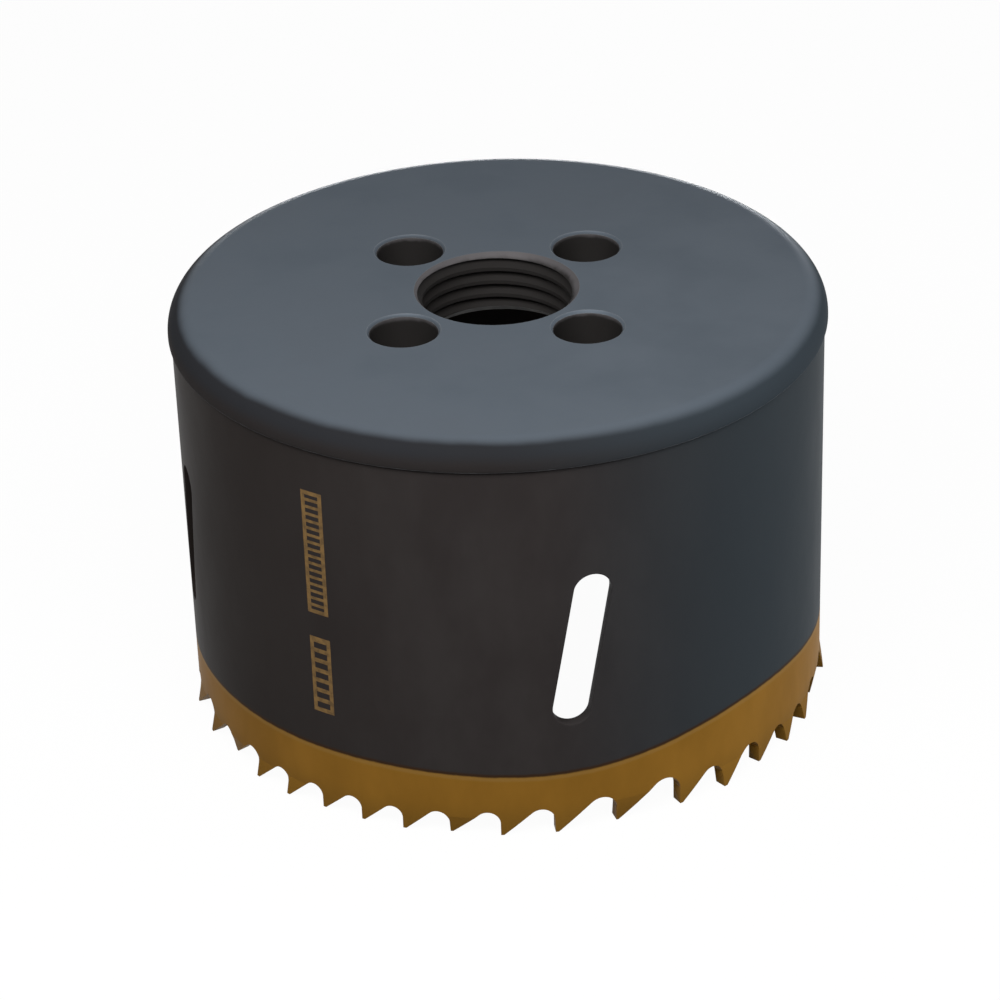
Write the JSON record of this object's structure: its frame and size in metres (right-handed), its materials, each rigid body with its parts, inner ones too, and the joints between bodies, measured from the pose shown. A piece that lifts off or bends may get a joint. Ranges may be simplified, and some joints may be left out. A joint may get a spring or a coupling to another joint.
{
  "type": "hole saw",
  "caption": "Cup-shaped bi-metal hole saw with set teeth round the open rim, slanted slots in its wall and a threaded back plate with drive-pin holes.",
  "frame": {"origin": "on the axis of rotation, in the plane of the tooth tips: the middle of the bottom of the part as it rests", "axes": "+Z along the axis of rotation, towards the back plate; the first slot is 14 degrees from -Y towards +X; the pin holes lie on the diagonals of X and Y"},
  "size_m": [0.0638, 0.0638, 0.0421],
  "materials": {
    "plate_steel": "satin blued",
    "wall_steel": "satin dark coating",
    "tooth_steel": "satin gold paint"
  },
  "bodies": {
    "root": {"back_plate": "plate_steel", "cup_wall": "wall_steel", "tooth_band": "tooth_steel"}
  },
  "joints": []
}
